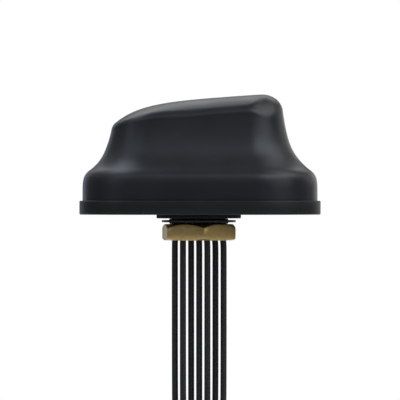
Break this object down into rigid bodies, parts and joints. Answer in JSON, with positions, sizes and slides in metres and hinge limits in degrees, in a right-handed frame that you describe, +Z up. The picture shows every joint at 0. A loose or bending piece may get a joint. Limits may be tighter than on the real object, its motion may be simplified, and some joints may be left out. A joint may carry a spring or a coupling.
{
  "type": "roof-mount gnss receiver",
  "caption": "Low black dome receiver with a tall end and a low nose, foam gasket, threaded hollow stud with toothed washer and brass hex nut, and coax leads coiled below.",
  "frame": {"origin": "centre of the mounting gasket's underside, which is the middle of the roof hole at the roof's surface", "axes": "+Z up, away from the roof; +X along the housing towards its tall end; -Y is the side that faces the camera"},
  "size_m": [0.1974, 0.116, 0.5186],
  "materials": {
    "radome_plastic": "satin injection-moulded black ASA, fine spark texture",
    "base_plastic": "satin black glass-filled nylon",
    "seal_rubber": "moulded silicone",
    "gasket_foam": "closed-cell EPDM foam, matte",
    "nut_brass": "turned and milled brass, slightly dulled",
    "stud_black": "black-anodised aluminium, satin",
    "washer_black": "black-oxide spring steel, satin",
    "screw_steel": "stainless steel",
    "grommet_rubber": "moulded black rubber",
    "board_green": "solder-masked FR4",
    "chip_black": "moulded chip packages",
    "shield_tin": "tin-plated steel can",
    "spacer_nylon": "natural nylon",
    "ceramic": "sintered ceramic with silvered top",
    "element_metal": "tin-plated brass sheet",
    "lead_jacket": "black polyethylene coax jacket, satin",
    "tie_nylon": "black nylon",
    "sleeve_black": "adhesive-lined heat-shrink",
    "ferrule_tin": "tinned crimp ferrules",
    "plug_gold": "gold-plated brass",
    "ptfe": "white PTFE"
  },
  "bodies": {
    "root": {"radome": "radome_plastic", "base_plate": "base_plastic", "perimeter_seal": "seal_rubber", "cover_screws": "screw_steel", "mounting_gasket": "gasket_foam", "threaded_stud": "stud_black", "stud_screws": "screw_steel", "cable_grommet": "grommet_rubber", "main_board": "board_green", "board_screws": "screw_steel", "lead_ferrules": "ferrule_tin", "board_components": "chip_black", "receiver_module": "shield_tin", "gnss_board": "board_green", "gnss_board_spacers": "spacer_nylon", "gnss_patch_lower": "ceramic", "gnss_patch_upper": "ceramic", "gnss_feed_pins": "ferrule_tin", "cell_element_1": "element_metal", "cell_element_2": "element_metal", "cell_element_3": "element_metal", "cell_element_4": "element_metal", "wifi_element_1": "element_metal", "wifi_element_2": "element_metal", "lead_1": "lead_jacket", "lead_2": "lead_jacket", "lead_3": "lead_jacket", "lead_4": "lead_jacket", "lead_5": "lead_jacket", "lead_6": "lead_jacket", "lead_7": "lead_jacket", "lead_coil": "lead_jacket", "coil_ties": "tie_nylon", "plug_sleeves": "sleeve_black", "plug_insulators": "ptfe", "plug_pins": "plug_gold", "plug_body_1": "plug_gold", "plug_body_2": "plug_gold", "plug_body_3": "plug_gold", "plug_body_4": "plug_gold", "plug_body_5": "plug_gold", "plug_body_6": "plug_gold", "plug_body_7": "plug_gold"},
    "washer": {"lock_washer": "washer_black"},
    "nut": {"hex_nut": "nut_brass"},
    "plug_nut_1_body": {"plug_nut_1": "plug_gold"},
    "plug_nut_2_body": {"plug_nut_2": "plug_gold"},
    "plug_nut_3_body": {"plug_nut_3": "plug_gold"},
    "plug_nut_4_body": {"plug_nut_4": "plug_gold"},
    "plug_nut_5_body": {"plug_nut_5": "plug_gold"},
    "plug_nut_6_body": {"plug_nut_6": "plug_gold"},
    "plug_nut_7_body": {"plug_nut_7": "plug_gold"}
  },
  "joints": [
    {"name": "nut_travel", "type": "slide", "parent": "root", "child": "washer", "axis": [0, 0, -1], "range_m": [0, 0.0083]},
    {"name": "nut_spin", "type": "hinge", "parent": "washer", "child": "nut", "pos_m": [0, 0, -0.01105], "axis": [0, 0, -1], "range_deg": [0, 1980]},
    {"name": "plug_spin_1", "type": "hinge", "parent": "root", "child": "plug_nut_1_body", "pos_m": [0.07456, 0.03193, -0.41126], "axis": [0, 0, -1], "continuous": true},
    {"name": "plug_spin_2", "type": "hinge", "parent": "root", "child": "plug_nut_2_body", "pos_m": [0.08028, 0.02203, -0.41126], "axis": [0, 0, -1], "continuous": true},
    {"name": "plug_spin_3", "type": "hinge", "parent": "root", "child": "plug_nut_3_body", "pos_m": [0.08028, 0.04183, -0.41126], "axis": [0, 0, -1], "continuous": true},
    {"name": "plug_spin_4", "type": "hinge", "parent": "root", "child": "plug_nut_4_body", "pos_m": [0.086, 0.03193, -0.41126], "axis": [0, 0, -1], "continuous": true},
    {"name": "plug_spin_5", "type": "hinge", "parent": "root", "child": "plug_nut_5_body", "pos_m": [0.09172, 0.02203, -0.41126], "axis": [0, 0, -1], "continuous": true},
    {"name": "plug_spin_6", "type": "hinge", "parent": "root", "child": "plug_nut_6_body", "pos_m": [0.09172, 0.04183, -0.41126], "axis": [0, 0, -1], "continuous": true},
    {"name": "plug_spin_7", "type": "hinge", "parent": "root", "child": "plug_nut_7_body", "pos_m": [0.09744, 0.03193, -0.41126], "axis": [0, 0, -1], "continuous": true}
  ],
  "couplings": [
    {"joint": "nut_travel", "follows": "nut_spin", "m_per_rad": 0.00023873}
  ]
}
